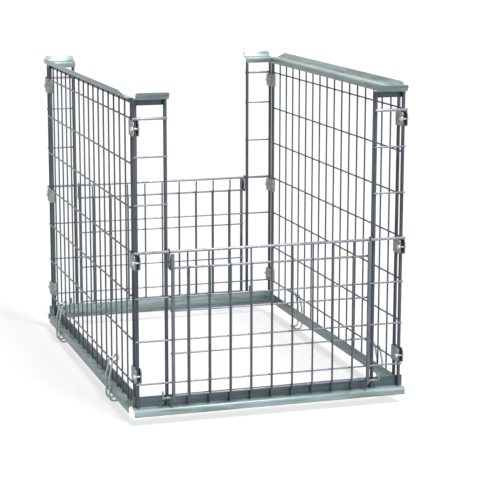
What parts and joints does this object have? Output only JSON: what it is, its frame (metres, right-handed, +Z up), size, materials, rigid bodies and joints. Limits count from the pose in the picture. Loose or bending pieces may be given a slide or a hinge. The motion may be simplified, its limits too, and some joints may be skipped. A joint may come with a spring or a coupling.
{
  "type": "wire mesh pallet collar",
  "caption": "Welded wire mesh collar for a flat pallet, with clamped corners, hinged drop gates in the short walls and swinging hooks under the deck.",
  "frame": {"origin": "middle of the collar's footprint, level with the feet of the pallet hooks; the pallet's deck would be 45 mm higher", "axes": "+X along the short walls, +Y from the front wall to the back wall along the long walls, +Z up"},
  "size_m": [0.8266, 1.2266, 0.9147],
  "materials": {
    "bent_sheet": "galvanised sheet, pale blue-green grey",
    "bright_rod": "bright zinc plated",
    "clamp": "galvanised pressed strap, dull",
    "hook_wire": "bright zinc plated",
    "mesh_wire": "galvanised, cool grey",
    "round_bar": "galvanised, dark grey"
  },
  "bodies": {
    "front_wall": {"front_base_rail": "bent_sheet", "front_hinge_rod": "bright_rod", "front_left_cap": "bent_sheet", "front_left_keeper_rod": "bright_rod", "front_left_strip": "round_bar", "front_lower_mesh": "mesh_wire", "front_right_cap": "bent_sheet", "front_right_keeper_rod": "bright_rod", "front_right_strip": "round_bar"},
    "left_wall": {"left_back_clamp_bottom": "clamp", "left_back_clamp_middle": "clamp", "left_back_clamp_top": "clamp", "left_back_end_bar": "round_bar", "left_base_rail": "bent_sheet", "left_front_clamp_bottom": "clamp", "left_front_clamp_middle": "clamp", "left_front_clamp_top": "clamp", "left_front_end_bar": "round_bar", "left_mesh": "mesh_wire", "left_top_rail": "bent_sheet"},
    "right_wall": {"right_back_clamp_bottom": "clamp", "right_back_clamp_middle": "clamp", "right_back_clamp_top": "clamp", "right_back_end_bar": "round_bar", "right_base_rail": "bent_sheet", "right_front_clamp_bottom": "clamp", "right_front_clamp_middle": "clamp", "right_front_clamp_top": "clamp", "right_front_end_bar": "round_bar", "right_mesh": "mesh_wire", "right_top_rail": "bent_sheet"},
    "back_wall": {"back_base_rail": "bent_sheet", "back_hinge_rod": "bright_rod", "back_left_cap": "bent_sheet", "back_left_keeper_rod": "bright_rod", "back_left_strip": "round_bar", "back_lower_mesh": "mesh_wire", "back_right_cap": "bent_sheet", "back_right_keeper_rod": "bright_rod", "back_right_strip": "round_bar"},
    "front_gate": {"front_gate_left_bar": "round_bar", "front_gate_left_eye": "round_bar", "front_gate_left_latch": "round_bar", "front_gate_mesh": "mesh_wire", "front_gate_right_bar": "round_bar", "front_gate_right_eye": "round_bar", "front_gate_right_latch": "round_bar"},
    "back_gate": {"back_gate_left_bar": "round_bar", "back_gate_left_eye": "round_bar", "back_gate_left_latch": "round_bar", "back_gate_mesh": "mesh_wire", "back_gate_right_bar": "round_bar", "back_gate_right_eye": "round_bar", "back_gate_right_latch": "round_bar"},
    "left_front_hook": {"left_front_hook": "hook_wire"},
    "left_back_hook": {"left_back_hook": "hook_wire"},
    "right_front_hook": {"right_front_hook": "hook_wire"},
    "right_back_hook": {"right_back_hook": "hook_wire"}
  },
  "joints": [
    {"name": "left_fold", "type": "hinge", "parent": "front_wall", "child": "left_wall", "pos_m": [-0.3845, -0.5845, 0.045], "axis": [0, 0, 1], "range_deg": [-50, 50]},
    {"name": "right_fold", "type": "hinge", "parent": "front_wall", "child": "right_wall", "pos_m": [0.3845, -0.5845, 0.045], "axis": [0, 0, 1], "range_deg": [-50, 50]},
    {"name": "back_fold", "type": "hinge", "parent": "left_wall", "child": "back_wall", "pos_m": [-0.3845, 0.5845, 0.045], "axis": [0, 0, 1], "range_deg": [-50, 50]},
    {"name": "front_gate_swing", "type": "hinge", "parent": "front_wall", "child": "front_gate", "pos_m": [0, -0.5938, 0.4815], "axis": [-1, 0, 0], "range_deg": [0, 180]},
    {"name": "back_gate_swing", "type": "hinge", "parent": "back_wall", "child": "back_gate", "pos_m": [0, 0.5938, 0.4815], "axis": [1, 0, 0], "range_deg": [0, 180]},
    {"name": "left_front_hook_swing", "type": "hinge", "parent": "left_wall", "child": "left_front_hook", "pos_m": [-0.3923, -0.32412, 0.1155], "axis": [0, 1, 0], "range_deg": [0, 80]},
    {"name": "left_back_hook_swing", "type": "hinge", "parent": "left_wall", "child": "left_back_hook", "pos_m": [-0.3923, 0.38894, 0.1155], "axis": [0, 1, 0], "range_deg": [0, 80]},
    {"name": "right_front_hook_swing", "type": "hinge", "parent": "right_wall", "child": "right_front_hook", "pos_m": [0.3923, -0.38894, 0.1155], "axis": [0, -1, 0], "range_deg": [0, 80]},
    {"name": "right_back_hook_swing", "type": "hinge", "parent": "right_wall", "child": "right_back_hook", "pos_m": [0.3923, 0.32412, 0.1155], "axis": [0, -1, 0], "range_deg": [0, 80]}
  ],
  "couplings": [
    {"joint": "right_fold", "follows": "left_fold", "ratio": 1},
    {"joint": "back_fold", "follows": "left_fold", "ratio": -1}
  ]
}
